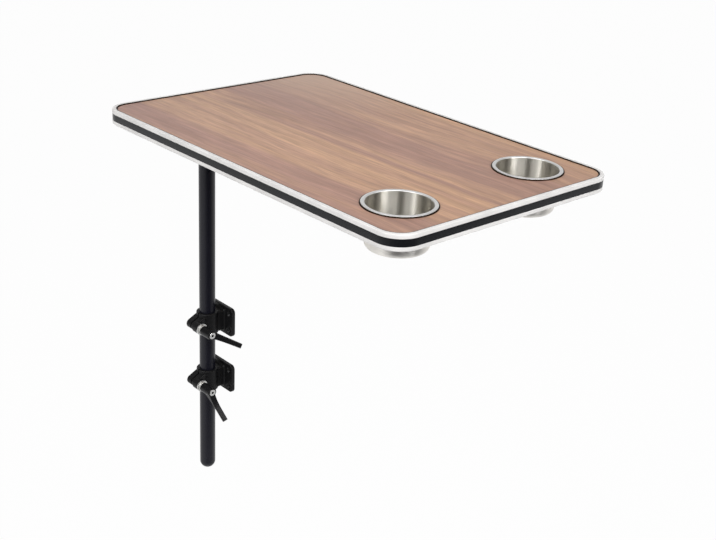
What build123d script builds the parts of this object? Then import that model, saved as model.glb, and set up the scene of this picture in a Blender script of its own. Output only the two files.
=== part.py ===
from build123d import *

import os
from math import cos, radians, sin, sqrt

os.makedirs("parts", exist_ok=True)

# The frame: origin at the middle of the upper clamp's wall face, +X along the table's long side,
# +Y into the wall, +Z up along the pole. All sizes are in millimetres.

# Tabletop board
board_length = 607.0
board_width = 390.0
board_thickness = 19.0
board_corner_radius = 31.5
pole_from_board_end = 55.0
pole_from_board_side = 136.0
table_height = 358.5  # top of the board above the upper clamp's middle

# Edge trim, a channel with a barbless tongue that is knocked into the board's groove
trim_wall = 2.5
trim_lip_reach = 3.5
trim_lip_thickness = 1.2
trim_edge_radius = 1.6
trim_lip_edge_radius = 0.5
tongue_length = 9.0
tongue_thickness = 2.0
tongue_clearance = 0.2
stripe_height = 9.6
stripe_depth = 1.2
stripe_clearance = 0.05

# Cup holders
cup_mouth_radius = 42.0
cup_base_radius = 39.4
cup_depth = 56.0
cup_wall = 0.8
cup_corner_radius = 7.0
cup_rim_width = 5.2
cup_rim_height = 2.2
cup_clearance = 0.4
cup_from_board_end = 79.0  # to the cup's middle
cup_from_board_side = 78.5

# Pole
pole_radius = 12.5
pole_wall = 2.0
pole_length = 593.0
pole_from_wall = 30.0
cap_plug_length = 14.0
cap_clearance = 0.05

# Flange plate welded to the pole's upper end
flange_side = 90.0
flange_thickness = 5.0
flange_corner_radius = 12.0
flange_hole_spacing = 68.0
weld_leg = 4.0
weld_face_radius = 8.0
weld_gap = 0.05

# Flange screws, countersunk
screw_radius = 2.2
screw_head_radius = 4.4
screw_length = 19.0
screw_clearance = 0.1
screw_recess_length = 4.4
screw_recess_width = 1.2
screw_recess_depth = 1.4
countersink_angle = 90.0

# Clamps
clamp_spacing = 101.0
plate_width = 67.0
plate_height = 48.5
plate_thickness = 6.0
plate_corner_radius = 7.0
plate_edge_radius = 1.2
wall_hole_radius = 2.75
wall_countersink_radius = 5.2
wall_hole_spacing_x = 50.0
wall_hole_spacing_z = 29.0
collar_radius = 17.3
collar_height = 37.0
collar_edge_radius = 1.5
neck_step = 1.0  # between the neck's faces and the collar's ends
neck_half_at_collar = 13.0
neck_half_at_plate = 13.0
neck_edge_radius = 2.5
neck_root_radius = 3.0
lug_step = 2.0  # between the lug's root and the collar's ends
lug_root_reach = 8.0
lug_nose_radius = 7.6
lug_half_width = 12.0
lug_edge_radius = 1.2
slit_width = 2.4
boss_radius = 9.0  # on the ear under the lever
boss_height = 7.0
boss_edge_radius = 0.8
boss_gap = 2.74  # between the boss and the collar

# Pole liners, split sleeves with an end flange that sits in the collar's mouth
liner_clearance = 0.15
liner_wall = 1.2
liner_flange_reach = 1.0
liner_flange_thickness = 1.2
liner_recess = 0.4
liner_slit = 3.0

# Clamping levers
stud_radius = 3.0
stud_clearance = 0.1
ear_hole_clearance = 0.4
stud_tail = 1.0  # past the nut
nut_sides = 6
nut_across_flats = 10.0
nut_thickness = 5.0
nut_clearance = 0.1
washer_radius = 9.2
washer_thickness = 1.6
stud_collar_radius = 6.6
stud_collar_length = 3.4
stud_collar_edge = 0.8
serration_count = 16
serration_radius = 5.0
serration_depth = 0.6
serration_height = 3.6
serration_clearance = 0.2
stud_neck_radius = 3.4
stud_neck_length = 9.0
hub_base_radius = 7.8
hub_top_radius = 7.6
hub_length = 24.1
hub_edge_radius = 1.4
hub_shoulder_thickness = 3.0
hub_clearance = 0.3
handle_lift = 4.0
arm_reach = 48.0
arm_rise = 18.0
arm_root_width = 10.6
arm_tip_width = 7.4
arm_thickness = 6.0
arm_edge_radius = 1.3
arm_slope = 34.0
arm_root_length = 17.0
arm_root_drop = 2.0  # below the hub's top, at its axis
upper_lever_angle = 29.0  # below the +Y direction
lower_lever_angle = 76.0
lever_screw_head_radius = 5.3
lever_screw_head_height = 3.0
lever_screw_proud = 0.4
lever_screw_head_edge = 0.6
lever_screw_radius = 2.0
lever_screw_length = 17.0
lever_socket_across_flats = 4.0
lever_socket_depth = 2.0
spring_wire_radius = 0.5
spring_turns = 4
spring_clearance = 0.3

# Places that follow from the sizes
pole_y = -pole_from_wall
board_x = board_length / 2 - pole_from_board_end
board_y = pole_y + board_width / 2 - pole_from_board_side
board_bottom_z = table_height - board_thickness
tube_top_z = board_bottom_z - flange_thickness
tube_end_z = tube_top_z - pole_length
bolt_from_pole = sqrt(collar_radius**2 - lug_half_width**2) + boss_gap + boss_radius
bolt_y = pole_y - bolt_from_pole
board_plane = Plane((board_x, board_y, board_bottom_z))
pole_head_plane = Plane((0, pole_y, tube_top_z))
pole_side_plane = Plane((0, pole_y, 0), x_dir=(1, 0, 0), z_dir=(0, -1, 0))
pole_line = Axis((0, pole_y, 0), (0, 0, 1))
cup_along = board_length / 2 - cup_from_board_end
cup_across = board_width / 2 - cup_from_board_side
cup_places = [(cup_along, -cup_across), (cup_along, cup_across)]
cup_hole_radius = cup_mouth_radius + cup_wall + cup_clearance


def export(piece, name):
    """Label a finished piece and write it under its node's name."""
    piece.label = name
    export_step(piece, f"parts/{name}.step")


def board_outline(growth):
    """The board's outline, grown outwards by an amount all round, for the sketch in hand."""
    return RectangleRounded(
        board_length + 2 * growth,
        board_width + 2 * growth,
        board_corner_radius + growth,
    )


def board_ring(outer_growth, inner_growth):
    """A band that follows the board's edge between two outlines, for the sketch in hand."""
    band = board_outline(outer_growth)
    RectangleRounded(
        board_length + 2 * inner_growth,
        board_width + 2 * inner_growth,
        board_corner_radius + inner_growth,
        mode=Mode.SUBTRACT,
    )
    return band


# Tabletop board with its cup holes, edge groove and pilot holes for the flange screws
groove_height = tongue_thickness + 2 * tongue_clearance
groove_depth = tongue_length + tongue_clearance
screw_depth = screw_length - flange_thickness + screw_clearance
with BuildPart() as tabletop_board:
    with BuildSketch(board_plane):
        board_outline(0)
        with Locations(*cup_places):
            Circle(cup_hole_radius, mode=Mode.SUBTRACT)
    extrude(amount=board_thickness)
    with BuildSketch(board_plane.offset((board_thickness - groove_height) / 2)):
        board_ring(0, -groove_depth)
    extrude(amount=groove_height, mode=Mode.SUBTRACT)
    with BuildSketch(Plane((0, pole_y, board_bottom_z))):
        with GridLocations(flange_hole_spacing, flange_hole_spacing, 2, 2):
            Circle(screw_radius + screw_clearance)
    extrude(amount=screw_depth, mode=Mode.SUBTRACT)
export(tabletop_board.part, "tabletop_board")

# Edge trim: lips over both faces of the board, a tongue in its groove and a recess for the stripe
trim_height = board_thickness + 2 * trim_lip_thickness
with BuildPart() as edge_trim:
    with BuildSketch(board_plane.offset(-trim_lip_thickness)):
        board_ring(trim_wall, -trim_lip_reach)
    extrude(amount=trim_height)
    upper_face = edge_trim.faces().sort_by(Axis.Z)[-1]
    lower_face = edge_trim.faces().sort_by(Axis.Z)[0]
    fillet(upper_face.outer_wire().edges() + lower_face.outer_wire().edges(), trim_edge_radius)
    upper_face = edge_trim.faces().filter_by(Axis.Z).sort_by(Axis.Z)[-1]
    lower_face = edge_trim.faces().filter_by(Axis.Z).sort_by(Axis.Z)[0]
    fillet(upper_face.inner_wires()[0].edges() + lower_face.inner_wires()[0].edges(), trim_lip_edge_radius)
    with BuildSketch(board_plane):
        board_outline(0)
    extrude(amount=board_thickness, mode=Mode.SUBTRACT)
    with BuildSketch(board_plane.offset((board_thickness - tongue_thickness) / 2)):
        board_ring(0, -tongue_length)
    extrude(amount=tongue_thickness)
    with BuildSketch(board_plane.offset((board_thickness - stripe_height) / 2)):
        board_ring(trim_wall, trim_wall - stripe_depth)
    extrude(amount=stripe_height, mode=Mode.SUBTRACT)
export(edge_trim.part, "edge_trim")

# Trim insert: the stripe pressed into the trim's recess
insert_height = stripe_height - 2 * stripe_clearance
with BuildPart() as trim_insert:
    with BuildSketch(board_plane.offset((board_thickness - insert_height) / 2)):
        board_ring(trim_wall, trim_wall - stripe_depth + stripe_clearance)
    extrude(amount=insert_height)
export(trim_insert.part, "trim_insert")

# Cup holders: pressed steel cups that hang by a rolled rim
cup_rim_radius = cup_mouth_radius + cup_rim_width
cup_rim_middle = (cup_mouth_radius + cup_rim_radius) / 2
for cup_name, cup_place in zip(("near_cup_holder", "far_cup_holder"), cup_places):
    cup_origin = Vector(board_x + cup_place[0], board_y + cup_place[1], table_height)
    cup_plane = Plane(cup_origin, x_dir=(1, 0, 0), z_dir=(0, -1, 0))
    cup_line = Axis(cup_origin, (0, 0, 1))
    with BuildPart() as cup_holder:
        with BuildSketch(cup_plane):
            with BuildLine():
                FilletPolyline(
                    (0, -cup_depth),
                    (cup_base_radius + cup_wall, -cup_depth),
                    (cup_mouth_radius + cup_wall, 0),
                    radius=cup_corner_radius + cup_wall,
                )
                Line((cup_mouth_radius + cup_wall, 0), (cup_mouth_radius, 0))
                FilletPolyline(
                    (cup_mouth_radius, 0),
                    (cup_base_radius, cup_wall - cup_depth),
                    (0, cup_wall - cup_depth),
                    radius=cup_corner_radius,
                )
                Line((0, cup_wall - cup_depth), (0, -cup_depth))
            make_face()
        revolve(axis=cup_line)
        with BuildSketch(cup_plane):
            with BuildLine():
                ThreePointArc((cup_mouth_radius, 0), (cup_rim_middle, cup_rim_height), (cup_rim_radius, 0))
                Line((cup_rim_radius, 0), (cup_rim_radius - cup_wall, 0))
                ThreePointArc(
                    (cup_rim_radius - cup_wall, 0),
                    (cup_rim_middle, cup_rim_height - cup_wall),
                    (cup_mouth_radius + cup_wall, 0),
                )
                Line((cup_mouth_radius + cup_wall, 0), (cup_mouth_radius, 0))
            make_face()
        revolve(axis=cup_line)
    export(cup_holder.part, cup_name)

# Pole: a round tube
with BuildPart() as pole_tube:
    with BuildSketch(Plane((0, pole_y, tube_end_z))):
        Circle(pole_radius)
        Circle(pole_radius - pole_wall, mode=Mode.SUBTRACT)
    extrude(amount=pole_length)
export(pole_tube.part, "pole_tube")

# End cap: a dome flush with the tube, with a plug that is pressed into it
cap_plug_radius = pole_radius - pole_wall - cap_clearance
with BuildPart() as pole_end_cap:
    with BuildSketch(pole_side_plane):
        with BuildLine():
            CenterArc((0, tube_end_z), pole_radius, 270, 90)
            Polyline(
                (pole_radius, tube_end_z),
                (cap_plug_radius, tube_end_z),
                (cap_plug_radius, tube_end_z + cap_plug_length),
                (0, tube_end_z + cap_plug_length),
                (0, tube_end_z - pole_radius),
            )
        make_face()
    revolve(axis=pole_line)
export(pole_end_cap.part, "pole_end_cap")

# Flange plate with its weld bead round the tube
bead_radius = pole_radius + weld_gap
with BuildPart() as pole_flange:
    with BuildSketch(pole_head_plane):
        RectangleRounded(flange_side, flange_side, flange_corner_radius)
    extrude(amount=flange_thickness)
    with Locations(Plane((0, pole_y, tube_top_z), x_dir=(1, 0, 0), z_dir=(0, 0, -1))):
        with GridLocations(flange_hole_spacing, flange_hole_spacing, 2, 2):
            CounterSinkHole(
                screw_radius + screw_clearance,
                screw_head_radius + screw_clearance,
                counter_sink_angle=countersink_angle,
            )
    with BuildSketch(pole_side_plane):
        with BuildLine():
            RadiusArc(
                (bead_radius + weld_leg, tube_top_z),
                (bead_radius, tube_top_z - weld_leg),
                weld_face_radius,
            )
            Polyline(
                (bead_radius, tube_top_z - weld_leg),
                (bead_radius, tube_top_z),
                (bead_radius + weld_leg, tube_top_z),
            )
        make_face()
    revolve(axis=pole_line)
export(pole_flange.part, "pole_flange")

# Flange screws: four countersunk wood screws with a cross recess
screw_cone_height = screw_head_radius - screw_radius
with BuildPart() as flange_screws:
    with BuildSketch(pole_head_plane):
        with GridLocations(flange_hole_spacing, flange_hole_spacing, 2, 2):
            Circle(screw_radius)
    extrude(amount=screw_length)
    with BuildSketch(pole_head_plane):
        with GridLocations(flange_hole_spacing, flange_hole_spacing, 2, 2):
            Circle(screw_head_radius)
    extrude(amount=screw_cone_height, taper=countersink_angle / 2)
    with BuildSketch(pole_head_plane):
        with GridLocations(flange_hole_spacing, flange_hole_spacing, 2, 2):
            Rectangle(screw_recess_length, screw_recess_width)
            Rectangle(screw_recess_width, screw_recess_length)
    extrude(amount=screw_recess_depth, mode=Mode.SUBTRACT)
export(flange_screws.part, "flange_screws")

# Values that both clamps share
liner_inner_radius = pole_radius + liner_clearance
liner_outer_radius = liner_inner_radius + liner_wall
liner_flange_radius = liner_outer_radius + liner_flange_reach
liner_height = collar_height - 2 * liner_recess
bore_radius = liner_outer_radius + liner_clearance
mouth_radius = liner_flange_radius + liner_clearance
mouth_depth = liner_recess + liner_flange_thickness + liner_clearance
neck_length = pole_from_wall - plate_thickness
neck_height = collar_height - 2 * neck_step
lug_root_height = collar_height - 2 * lug_step
lug_reach = bolt_from_pole + lug_nose_radius
nut_pocket_depth = nut_thickness + nut_clearance
nut_turn = 180 / nut_sides  # a flat faces the lug's nose
washer_x = lug_half_width + boss_height
stud_collar_x = washer_x + washer_thickness
hub_base_x = stud_collar_x + stud_collar_length
stud_length = stud_collar_x + lug_half_width + stud_tail
hub_shoulder = serration_height + handle_lift + hub_clearance
hub_chamber_radius = lever_screw_head_radius + hub_clearance
screw_head_seat = hub_length + lever_screw_proud - lever_screw_head_height
spring_seat = hub_shoulder + hub_shoulder_thickness
spring_radius = hub_chamber_radius - spring_clearance - spring_wire_radius


def toothed_disc(tip_radius):
    """The corners of a disc with shallow serrations round its edge."""
    root_radius = tip_radius - serration_depth
    half_pitch = 180 / serration_count
    corners = []
    for step in range(2 * serration_count):
        radius = tip_radius if step % 2 == 0 else root_radius
        turn = radians(step * half_pitch)
        corners.append((radius * cos(turn), radius * sin(turn)))
    return corners


for side, clamp_z, lever_angle in (
    ("upper", 0.0, upper_lever_angle),
    ("lower", -clamp_spacing, lower_lever_angle),
):
    wall_plane = Plane((0, 0, clamp_z), x_dir=(1, 0, 0), z_dir=(0, -1, 0))
    collar_plane = Plane((0, pole_y, clamp_z))
    lug_plane = Plane((0, pole_y, clamp_z), x_dir=(0, -1, 0), z_dir=(1, 0, 0))
    ear_plane = Plane((0, bolt_y, clamp_z), x_dir=(0, -1, 0), z_dir=(1, 0, 0))

    # Clamp body: two ears, a collar round the pole, a neck and a wall plate, cast as one piece
    with BuildPart() as clamp_body:
        with BuildSketch(lug_plane):
            with Locations((lug_root_reach / 2, 0)):
                Rectangle(lug_root_reach, lug_root_height)
            with Locations((bolt_from_pole, 0)):
                Circle(lug_nose_radius)
            make_hull()
        extrude(amount=lug_half_width, both=True)
        lug_sides = clamp_body.faces().filter_by(Axis.X)
        fillet(lug_sides.edges(), lug_edge_radius)
        with BuildSketch(collar_plane.offset(-neck_height / 2)):
            with BuildLine():
                Polyline(
                    (-neck_half_at_collar, 0),
                    (neck_half_at_collar, 0),
                    (neck_half_at_plate, neck_length),
                    (-neck_half_at_plate, neck_length),
                    close=True,
                )
            make_face()
        extrude(amount=neck_height)
        neck_faces = clamp_body.faces().filter_by(Axis.Z)
        neck_sides = neck_faces.edges().filter_by(Axis.X, reverse=True)
        fillet(neck_sides, neck_edge_radius)
        with BuildSketch(collar_plane.offset(-collar_height / 2)):
            Circle(collar_radius)
        extrude(amount=collar_height)
        collar_rims = clamp_body.edges().group_by(Axis.Z)[-1] + clamp_body.edges().group_by(Axis.Z)[0]
        fillet(collar_rims, collar_edge_radius)
        with BuildSketch(wall_plane):
            RectangleRounded(plate_width, plate_height, plate_corner_radius)
        extrude(amount=plate_thickness)
        plate_front = clamp_body.faces().filter_by(Axis.Y).sort_by(SortBy.AREA)[-2]
        fillet(plate_front.inner_wires()[0].edges(), neck_root_radius)
        plate_front = clamp_body.faces().filter_by(Axis.Y).sort_by(SortBy.AREA)[-2]
        fillet(plate_front.outer_wire().edges(), plate_edge_radius)
        with BuildSketch(collar_plane.offset(-collar_height / 2)):
            Circle(bore_radius)
        extrude(amount=collar_height, mode=Mode.SUBTRACT)
        for mouth_z in (-collar_height / 2, collar_height / 2 - mouth_depth):
            with BuildSketch(collar_plane.offset(mouth_z)):
                Circle(mouth_radius)
            extrude(amount=mouth_depth, mode=Mode.SUBTRACT)
        with BuildSketch(lug_plane):
            with Locations(((lug_reach + bore_radius / 2) / 2, 0)):
                Rectangle(lug_reach - bore_radius / 2, collar_height)
        extrude(amount=slit_width / 2, both=True, mode=Mode.SUBTRACT)
        with BuildSketch(ear_plane.offset(lug_half_width / 2)):
            Circle(boss_radius)
        extrude(amount=lug_half_width / 2 + boss_height)
        fillet(clamp_body.edges().group_by(Axis.X)[-1], boss_edge_radius)
        with BuildSketch(ear_plane.offset(-lug_half_width)):
            Circle(stud_radius + ear_hole_clearance)
        extrude(amount=lug_half_width + washer_x, mode=Mode.SUBTRACT)
        with BuildSketch(ear_plane.offset(-lug_half_width)):
            RegularPolygon(
                nut_across_flats / 2 + nut_clearance,
                nut_sides,
                major_radius=False,
                rotation=nut_turn,
            )
        extrude(amount=nut_pocket_depth, mode=Mode.SUBTRACT)
        with Locations(wall_plane.offset(plate_thickness)):
            with GridLocations(wall_hole_spacing_x, wall_hole_spacing_z, 2, 2):
                CounterSinkHole(
                    wall_hole_radius,
                    wall_countersink_radius,
                    counter_sink_angle=countersink_angle,
                )
    export(clamp_body.part, f"{side}_clamp_body")

    # Pole liner: a split sleeve held in the collar by a flange at each end
    with BuildPart() as pole_liner:
        with BuildSketch(collar_plane.offset(-liner_height / 2)):
            Circle(liner_outer_radius)
        extrude(amount=liner_height)
        for flange_z in (-liner_height / 2, liner_height / 2 - liner_flange_thickness):
            with BuildSketch(collar_plane.offset(flange_z)):
                Circle(liner_flange_radius)
            extrude(amount=liner_flange_thickness)
        with BuildSketch(collar_plane.offset(-liner_height / 2)):
            Circle(liner_inner_radius)
            with Locations((0, -liner_flange_radius / 2)):
                Rectangle(liner_slit, liner_flange_radius)
        extrude(amount=liner_height, mode=Mode.SUBTRACT)
    export(pole_liner.part, f"{side}_pole_liner")

    # Nut in the far ear's pocket
    with BuildPart() as clamp_nut:
        with BuildSketch(ear_plane.offset(-lug_half_width)):
            RegularPolygon(nut_across_flats / 2, nut_sides, major_radius=False, rotation=nut_turn)
            Circle(stud_radius + stud_clearance, mode=Mode.SUBTRACT)
        extrude(amount=nut_thickness)
    export(clamp_nut.part, f"{side}_clamp_nut")

    # Washer on the near ear
    with BuildPart() as clamp_washer:
        with BuildSketch(ear_plane.offset(washer_x)):
            Circle(washer_radius)
            Circle(stud_radius + stud_clearance, mode=Mode.SUBTRACT)
        extrude(amount=washer_thickness)
    export(clamp_washer.part, f"{side}_clamp_washer")

    # Planes of the lever: across the bolt, and along the bolt and the arm
    turn = radians(lever_angle)
    arm_direction = (0, cos(turn), -sin(turn))
    hub_origin = (hub_base_x, bolt_y, clamp_z)
    hub_plane = Plane(hub_origin, x_dir=arm_direction, z_dir=(1, 0, 0))
    arm_plane = Plane(hub_origin, x_dir=arm_direction, z_dir=Vector(arm_direction).cross(Vector(1, 0, 0)))
    bolt_line = Axis(hub_origin, (1, 0, 0))

    # Lever stud: thread, bright collar, serrated head and tapped neck, turned as one piece
    with BuildPart() as lever_stud:
        with BuildSketch(hub_plane.offset(-stud_collar_length)):
            Circle(stud_collar_radius)
        extrude(amount=stud_collar_length)
        fillet(lever_stud.edges().group_by(Axis.X)[0], stud_collar_edge)
        with BuildSketch(hub_plane.offset(-stud_collar_length)):
            Circle(stud_radius)
        extrude(amount=-stud_length)
        with BuildSketch(hub_plane):
            with BuildLine():
                Polyline(*toothed_disc(serration_radius), close=True)
            make_face()
        extrude(amount=serration_height)
        with BuildSketch(hub_plane.offset(serration_height)):
            Circle(stud_neck_radius)
        extrude(amount=stud_neck_length)
        with BuildSketch(hub_plane.offset(serration_height + stud_neck_length)):
            Circle(lever_screw_radius + screw_clearance)
        extrude(amount=-stud_neck_length, mode=Mode.SUBTRACT)
    export(lever_stud.part, f"{side}_lever_stud")

    # Lever handle: a hub whose side sweeps out into a bent flat arm
    arm_tip = Vector(arm_reach, hub_length + arm_rise)
    slope = radians(arm_slope)
    tip_across = Vector(-sin(slope), cos(slope)) * (arm_thickness / 2)
    tip_along = Vector(cos(slope), sin(slope))
    arm_upper_tip = arm_tip + tip_across
    arm_lower_tip = arm_tip - tip_across
    with BuildPart() as lever_handle:
        with BuildSketch(arm_plane):
            with BuildLine():
                Spline(
                    (0, hub_length - arm_root_drop),
                    arm_upper_tip,
                    tangents=[(1, 0), tip_along],
                )
                Line(arm_upper_tip, arm_lower_tip)
                Spline(
                    arm_lower_tip,
                    (hub_top_radius, hub_length - arm_root_length),
                    tangents=[tip_along * -1, (-sin(slope), -cos(slope))],
                )
                Polyline(
                    (hub_top_radius, hub_length - arm_root_length),
                    (0, hub_length - arm_root_length),
                    (0, hub_length - arm_root_drop),
                )
            make_face()
        extrude(amount=arm_root_width / 2, both=True)
        with BuildSketch(hub_plane):
            with BuildLine():
                Polyline(
                    (0, -arm_root_width / 2),
                    (arm_lower_tip.X, -arm_tip_width / 2),
                    (arm_lower_tip.X, arm_tip_width / 2),
                    (0, arm_root_width / 2),
                    close=True,
                )
            make_face()
        extrude(amount=arm_upper_tip.Y, mode=Mode.INTERSECT)
        fillet(lever_handle.edges().filter_by(GeomType.BSPLINE), arm_edge_radius)
        with BuildSketch(arm_plane):
            with BuildLine():
                FilletPolyline(
                    (0, 0),
                    (hub_base_radius, 0),
                    (hub_top_radius, hub_length),
                    (0, hub_length),
                    radius=hub_edge_radius,
                )
                Line((0, hub_length), (0, 0))
            make_face()
        revolve(axis=bolt_line)
        with BuildSketch(hub_plane):
            with BuildLine():
                Polyline(*toothed_disc(serration_radius + serration_clearance), close=True)
            make_face()
        extrude(amount=hub_shoulder, mode=Mode.SUBTRACT)
        with BuildSketch(hub_plane):
            Circle(stud_neck_radius + hub_clearance)
        extrude(amount=hub_length, mode=Mode.SUBTRACT)
        with BuildSketch(hub_plane.offset(spring_seat)):
            Circle(hub_chamber_radius)
        extrude(amount=hub_length, mode=Mode.SUBTRACT)
    export(lever_handle.part, f"{side}_lever_handle")

    # Retaining screw in the top of the hub
    with BuildPart() as lever_screw:
        with BuildSketch(hub_plane.offset(screw_head_seat)):
            Circle(lever_screw_head_radius)
        extrude(amount=lever_screw_head_height)
        fillet(lever_screw.edges().group_by(Axis.X)[-1], lever_screw_head_edge)
        with BuildSketch(hub_plane.offset(screw_head_seat)):
            Circle(lever_screw_radius)
        extrude(amount=-lever_screw_length)
        with BuildSketch(hub_plane.offset(screw_head_seat + lever_screw_head_height)):
            RegularPolygon(lever_socket_across_flats / 2, nut_sides, major_radius=False)
        extrude(amount=-lever_socket_depth, mode=Mode.SUBTRACT)
    export(lever_screw.part, f"{side}_lever_screw")

    # Spring between the hub's shoulder and the screw head
    spring_length = screw_head_seat - spring_seat - 2 * spring_wire_radius
    spring_start = hub_plane.offset(spring_seat + spring_wire_radius)
    with BuildPart() as lever_spring:
        with BuildLine():
            coil = Helix(
                spring_length / spring_turns,
                spring_length,
                spring_radius,
                center=spring_start.origin,
                direction=(1, 0, 0),
            )
        with BuildSketch(Plane(coil @ 0, x_dir=(1, 0, 0), z_dir=coil % 0)):
            Circle(spring_wire_radius)
        sweep(path=coil)
    export(lever_spring.part, f"{side}_lever_spring")
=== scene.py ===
"""Single pole camper table: finishes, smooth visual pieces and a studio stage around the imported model."""

from math import pi, radians, tau

import bmesh
import bpy
from bpy.props import FloatProperty, FloatVectorProperty, IntProperty, PointerProperty
from bpy.types import NodeSocket, Operator, Panel, PropertyGroup
from mathutils import Matrix, Vector


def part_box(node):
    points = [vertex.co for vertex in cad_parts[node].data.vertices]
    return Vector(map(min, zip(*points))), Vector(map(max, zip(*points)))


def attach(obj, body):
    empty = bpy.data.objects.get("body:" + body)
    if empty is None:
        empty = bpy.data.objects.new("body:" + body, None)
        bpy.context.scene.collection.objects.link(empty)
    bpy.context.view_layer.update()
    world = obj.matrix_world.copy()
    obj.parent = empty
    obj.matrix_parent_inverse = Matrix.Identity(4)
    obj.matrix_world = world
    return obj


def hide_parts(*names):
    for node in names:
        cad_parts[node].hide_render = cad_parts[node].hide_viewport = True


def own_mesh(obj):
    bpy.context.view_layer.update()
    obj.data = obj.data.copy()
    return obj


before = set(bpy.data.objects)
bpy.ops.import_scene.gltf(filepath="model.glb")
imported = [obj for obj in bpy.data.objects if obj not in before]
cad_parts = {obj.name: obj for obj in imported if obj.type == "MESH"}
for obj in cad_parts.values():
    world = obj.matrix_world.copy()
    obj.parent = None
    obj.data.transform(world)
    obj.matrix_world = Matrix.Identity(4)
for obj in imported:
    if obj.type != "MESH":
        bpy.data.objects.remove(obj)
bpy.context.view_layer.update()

bl_info = {
    "name": "Single Pole Camper Table",
    "version": (1, 0, 0),
    "blender": (4, 5, 0),
    "location": "View3D > Sidebar > Camper Table",
    "description": "Dresses a wall clamped camper table with its finishes and sets up a studio stage",
    "category": "Object",
}

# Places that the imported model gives
BOARD_LOW, BOARD_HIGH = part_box("tabletop_board")
TRIM_LOW, TRIM_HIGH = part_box("edge_trim")
STRIPE_LOW, STRIPE_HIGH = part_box("trim_insert")
TUBE_LOW, TUBE_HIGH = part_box("pole_tube")
CAP_LOW, CAP_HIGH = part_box("pole_end_cap")
CUP_NODES = ("near_cup_holder", "far_cup_holder")
SIDES = ("upper", "lower")
BOARD_MIDDLE = (BOARD_LOW + BOARD_HIGH) / 2
POLE_PLACE = Vector(((TUBE_LOW.x + TUBE_HIGH.x) / 2, (TUBE_LOW.y + TUBE_HIGH.y) / 2, 0))
POLE_RADIUS = (TUBE_HIGH.x - TUBE_LOW.x) / 2

# Fineness of the meshes
ROUND_STEPS = 6
CORNER_STEPS = 24
LATHE_STEPS = 128
WINDING_STEPS = 32
WIRE_SIDES = 12
MERGE_DISTANCE = 1e-5
SHARP_ANGLE = radians(35)

QUARTER_TURN = pi / 2
ALONG_X = (0, QUARTER_TURN, 0)  # turn of a round piece whose axis is X
UPRIGHT = (0, 0, 0)
BODY = "table"

# Most values of a noise lie in this span, round this middle
NOISE_SPAN = (0.3, 0.7)
NOISE_MIDDLE = 0.5

# Coats and plastics: roughness, size and depth of the grain in metres, specular level
COATS = {
    "silver_trim": (0.28, 0.0008, 0.00002, 0.40),
    "stripe_plastic": (0.30, 0.0006, 0.00003, 0.25),
    # The next two coats are for dark beads of painted shade: inside the trim's lip, and under the cups' rims
    "joint_filler": (0.60, 0.0006, 0.00002, 0.12),
    "seal_rubber": (0.60, 0.0006, 0.00002, 0.12),
    "pole_coat": (0.32, 0.0009, 0.00002, 0.31),
    "clamp_coat": (0.44, 0.0011, 0.00006, 0.22),
    "liner_nylon": (0.50, 0.0005, 0.00002, 0.25),
    "handle_coat": (0.32, 0.0008, 0.00003, 0.20),
}
COAT_TONES = (0.80, 1.25)
COAT_GLOSS_CHANGE = 0.05

# Turned metals: roughness, and size of the tool marks in metres
TURNED_METALS = {
    "satin": (0.54, 0.0004),
    "bright": (0.42, 0.0004),
    "polished": (0.22, 0.0004),
    "wire": (0.35, 0.0010),
    "zinc": (0.35, 0.0006),
}
TURNED_TONES = (0.82, 1.12)
TURNED_GLOSS_CHANGE = 0.06
TURNED_DEPTH = 0.00002
# Tone of a lever screw's socket recess, darkened as painted shade
SOCKET_SHADE = 0.06

# Brushed steel of the cups
BRUSHED_MARKS = {"Ring Size": 0.0005, "Ray Count": 40.0}
BRUSHED_TONES = (0.93, 1.06)
BRUSHED_GLOSS = (0.32, 0.38)
BRUSHED_DEPTH = 0.00001
BRUSHED_STRETCH = 0.96
BRUSHED_HEADING = 0.25  # of a full turn, so that the stretch runs up the wall
# Painted shade: the bowl's steel darkens towards the cup's foot over this height, to the tone given for the
# skin
CUP_SHADE_RISE = 0.025  # height over which a cup's tone changes from its foot
CUP_SKINS = (("bowl", "bowl_steel", 0.35), ("shell", "shell_steel", 1.0))  # name, colour, tone at the foot

# Wood grain. Tan bands across the board: (share of the width from the near side, amount of tan)
WOOD_BANDS = (
    (0.00, 0.20), (0.06, 0.00), (0.14, 0.00), (0.20, 0.65), (0.25, 0.80), (0.29, 0.60), (0.32, 0.95),
    (0.36, 0.75), (0.41, 0.90), (0.44, 0.12), (0.47, 0.70), (0.51, 0.55), (0.55, 0.08), (0.70, 0.00),
    (0.76, 0.45), (0.88, 0.60), (1.00, 0.45),
)
WOOD_SLOPE = 0.03  # rise of the grain across the board for each metre along it
WOOD_SWAY = 0.024  # how far the bands sway across the board, in metres
# Streaks: run along the board and pitch across it in metres, and detail of the noise
WOOD_STREAKS = {
    "sway": (0.30, 0.14, 2.0),
    "wide": (0.50, 0.018, 2.0),
    "middle": (0.16, 0.008, 2.0),
    "fine": (0.06, 0.0032, 2.0),
    "pores": (0.030, 0.0009, 1.0),
}
STREAK_ROUGHNESS = 0.55
WIDE_STREAK_SHARE = 1.6  # of tan, from the wide streaks
MIDDLE_STREAK_DEPTH = 0.22
FINE_STREAK_DEPTH = 0.26
PORE_SPAN = (0.58, 0.72)
PORE_SHARE = 0.30
PORE_TONE = 0.55
# Painted sheen at the far corner by the pole: where it starts from the board's middle, and its largest share
SHEEN_START = 0.05  # from the board's middle towards the pole
SHEEN_SHARE = 0.65
WOOD_SPECULAR = 0.18
WOOD_GLOSS = (0.42, 0.54)
WOOD_DEPTH = 0.00006

# Shares of a profile: the stripe's half height that its crown is rounded over, and the width of the lip's
# bead of painted shade that stands at full height and that its crest is rounded over
CROWN_SHARE = 0.95
CREST_SHARE = 1 / 4
CREST_ROUNDING = 1 / 8

# Where the world fades from room to backdrop, and from walls to ceiling, as cosine and sine of the angle
BACKDROP_EDGE = (0.43, 0.85)
CEILING_EDGE = (0.4, 0.8)

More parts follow.
